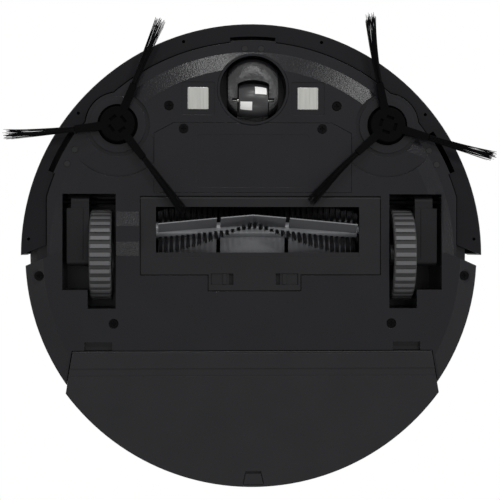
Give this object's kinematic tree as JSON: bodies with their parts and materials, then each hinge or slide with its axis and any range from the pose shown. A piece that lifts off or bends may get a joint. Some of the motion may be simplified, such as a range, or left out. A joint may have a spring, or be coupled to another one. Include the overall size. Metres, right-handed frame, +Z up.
{
  "type": "robot vacuum",
  "caption": "Round robot vacuum that drives on sprung wheels, sweeps with side and main brushes, and carries a rear dust bin with a mop plate.",
  "frame": {"origin": "on the floor, under the middle of the round body", "axes": "+Z up, -Y to the front with the bumper, +X to the right in a view from below with the front up"},
  "size_m": [0.3654, 0.3543, 0.095],
  "materials": {
    "chassis_plastic": "fine moulded grain",
    "deck_plastic": "satin moulded",
    "panel_plastic": "polished",
    "button_plastic": "satin",
    "bumper_plastic": "fine moulded grain",
    "lens_plastic": "polished, dark",
    "cover_plastic": "fine moulded grain",
    "mop_plastic": "fine moulded grain",
    "bin_plastic": "satin moulded",
    "inner_plastic": "moulded",
    "arm_plastic": "moulded",
    "hub_plastic": "moulded",
    "tyre_rubber": "moulded rubber",
    "steel": "turned",
    "contact_metal": "plated",
    "motor_metal": "drawn can",
    "battery_wrap": "shrink wrap over cells",
    "board_laminate": "solder mask",
    "gear_plastic": "moulded acetal",
    "filter_paper": "pleated",
    "caster_plastic": "satin grain",
    "caster_wheel_plastic": "moulded",
    "patch_plastic": "moulded",
    "side_brush_rubber": "moulded",
    "side_fibre": "drawn fibre",
    "core_plastic": "moulded",
    "blade_rubber": "moulded",
    "brush_fibre": "drawn fibre"
  },
  "bodies": {
    "chassis": {"base_plate": "chassis_plastic", "top_cover": "deck_plastic", "top_panel": "panel_plastic", "battery_cover": "chassis_plastic", "battery_pack": "battery_wrap", "screws": "steel", "charging_contacts": "contact_metal", "circuit_board": "board_laminate", "cliff_sensor_lenses": "lens_plastic", "bumper_switches": "inner_plastic", "arm_pivot_pins": "steel", "suspension_springs": "steel", "caster_socket": "chassis_plastic", "side_brush_motors": "motor_metal", "brush_housing": "inner_plastic", "brush_gearbox": "inner_plastic", "brush_motor": "motor_metal", "fan_housing": "inner_plastic", "fan_motor": "motor_metal", "lidar_base": "deck_plastic", "lidar_tower": "deck_plastic"},
    "bumper": {"bumper_shell": "bumper_plastic", "bumper_window": "lens_plastic"},
    "left_arm": {"left_wheel_arm": "arm_plastic", "left_wheel_motor": "motor_metal"},
    "right_arm": {"right_wheel_arm": "arm_plastic", "right_wheel_motor": "motor_metal"},
    "left_wheel": {"left_wheel_axle": "steel", "left_wheel_hub": "hub_plastic", "left_tyre": "tyre_rubber"},
    "right_wheel": {"right_wheel_axle": "steel", "right_wheel_hub": "hub_plastic", "right_tyre": "tyre_rubber"},
    "caster": {"caster_fork": "caster_plastic", "caster_axle": "steel"},
    "caster_roller": {"caster_wheel": "caster_wheel_plastic", "caster_wheel_patches": "patch_plastic"},
    "left_side_sweeper": {"left_side_brush": "side_brush_rubber", "left_side_bristles": "side_fibre"},
    "right_side_sweeper": {"right_side_brush": "side_brush_rubber", "right_side_bristles": "side_fibre"},
    "main_brush": {"brush_core": "core_plastic", "brush_blades": "blade_rubber", "brush_bristles": "brush_fibre", "brush_drive_gear": "gear_plastic"},
    "idler": {"brush_idler_gear": "gear_plastic"},
    "pinion": {"brush_motor_pinion": "gear_plastic"},
    "brush_frame": {"brush_cover": "cover_plastic"},
    "left_latch": {"left_cover_latch": "cover_plastic"},
    "right_latch": {"right_cover_latch": "cover_plastic"},
    "impeller": {"fan_impeller": "gear_plastic"},
    "bin": {"dust_bin": "bin_plastic", "bin_lid": "bin_plastic", "bin_filter": "filter_paper"},
    "bin_key": {"bin_button": "button_plastic"},
    "mop": {"mop_plate": "mop_plastic"},
    "mop_catch": {"plate_catch": "mop_plastic"},
    "power_key": {"power_button": "button_plastic"},
    "home_key": {"home_button": "button_plastic"},
    "lidar_head": {"lidar_rotor": "panel_plastic"}
  },
  "joints": [
    {"name": "bumper_push", "type": "slide", "parent": "chassis", "child": "bumper", "axis": [0, 1, 0], "range_m": [0, 0.005], "stiffness_N_per_m": 300},
    {"name": "left_arm_swing", "type": "hinge", "parent": "chassis", "child": "left_arm", "pos_m": [-0.115, -0.04, 0.02], "axis": [1, 0, 0], "range_deg": [-28, 0], "stiffness_Nm_per_rad": 0.2, "springref_deg": -34.38},
    {"name": "left_wheel_spin", "type": "hinge", "parent": "left_arm", "child": "left_wheel", "pos_m": [-0.115, 0, 0.035], "axis": [1, 0, 0], "continuous": true},
    {"name": "right_arm_swing", "type": "hinge", "parent": "chassis", "child": "right_arm", "pos_m": [0.115, -0.04, 0.02], "axis": [1, 0, 0], "range_deg": [-28, 0], "stiffness_Nm_per_rad": 0.2, "springref_deg": -34.38},
    {"name": "right_wheel_spin", "type": "hinge", "parent": "right_arm", "child": "right_wheel", "pos_m": [0.115, 0, 0.035], "axis": [1, 0, 0], "continuous": true},
    {"name": "caster_swivel", "type": "hinge", "parent": "chassis", "child": "caster", "pos_m": [0, -0.125, 0.04], "axis": [0, 0, 1], "continuous": true},
    {"name": "caster_spin", "type": "hinge", "parent": "caster", "child": "caster_roller", "pos_m": [0, -0.1166, 0.013], "axis": [1, 0, 0], "continuous": true},
    {"name": "left_sweeper_spin", "type": "hinge", "parent": "chassis", "child": "left_side_sweeper", "pos_m": [-0.10203, -0.09819, 0.008], "axis": [0, 0, 1], "continuous": true},
    {"name": "right_sweeper_spin", "type": "hinge", "parent": "chassis", "child": "right_side_sweeper", "pos_m": [0.10203, -0.09819, 0.008], "axis": [0, 0, -1], "continuous": true},
    {"name": "brush_spin", "type": "hinge", "parent": "chassis", "child": "main_brush", "pos_m": [0.0035, -0.0189, 0.021], "axis": [1, 0, 0], "continuous": true},
    {"name": "idler_spin", "type": "hinge", "parent": "chassis", "child": "idler", "pos_m": [-0.094, -0.00014, 0.03597], "axis": [1, 0, 0], "continuous": true},
    {"name": "pinion_spin", "type": "hinge", "parent": "chassis", "child": "pinion", "pos_m": [-0.094, 0.01735, 0.03791], "axis": [1, 0, 0], "continuous": true},
    {"name": "brush_frame_swing", "type": "hinge", "parent": "chassis", "child": "brush_frame", "pos_m": [0.0058, -0.0423, 0.0109], "axis": [-1, 0, 0], "range_deg": [0, 70]},
    {"name": "left_latch_slide", "type": "slide", "parent": "brush_frame", "child": "left_latch", "axis": [1, 0, 0], "range_m": [0, 0.003], "stiffness_N_per_m": 200},
    {"name": "right_latch_slide", "type": "slide", "parent": "brush_frame", "child": "right_latch", "axis": [-1, 0, 0], "range_m": [0, 0.003], "stiffness_N_per_m": 200},
    {"name": "impeller_spin", "type": "hinge", "parent": "chassis", "child": "impeller", "pos_m": [0.052, 0.04, 0.03], "axis": [0, 0, 1], "continuous": true},
    {"name": "bin_pull", "type": "slide", "parent": "chassis", "child": "bin", "axis": [0, 1, 0], "range_m": [0, 0.11]},
    {"name": "bin_key_press", "type": "slide", "parent": "bin", "child": "bin_key", "axis": [0, -1, 0], "range_m": [0, 0.003], "stiffness_N_per_m": 500},
    {"name": "mop_pull", "type": "slide", "parent": "bin", "child": "mop", "axis": [0, 1, 0], "range_m": [0, 0.1]},
    {"name": "mop_catch_press", "type": "slide", "parent": "mop", "child": "mop_catch", "axis": [0, -1, 0], "range_m": [0, 0.0015], "stiffness_N_per_m": 500},
    {"name": "power_press", "type": "slide", "parent": "chassis", "child": "power_key", "axis": [0, 0, -1], "range_m": [0, 0.0008], "stiffness_N_per_m": 900},
    {"name": "home_press", "type": "slide", "parent": "chassis", "child": "home_key", "axis": [0, 0, -1], "range_m": [0, 0.0008], "stiffness_N_per_m": 900},
    {"name": "lidar_spin", "type": "hinge", "parent": "chassis", "child": "lidar_head", "pos_m": [0, 0.022, 0.08], "axis": [0, 0, 1], "continuous": true}
  ],
  "couplings": [
    {"joint": "idler_spin", "follows": "brush_spin", "ratio": -1},
    {"joint": "pinion_spin", "follows": "brush_spin", "ratio": 2.1429}
  ]
}
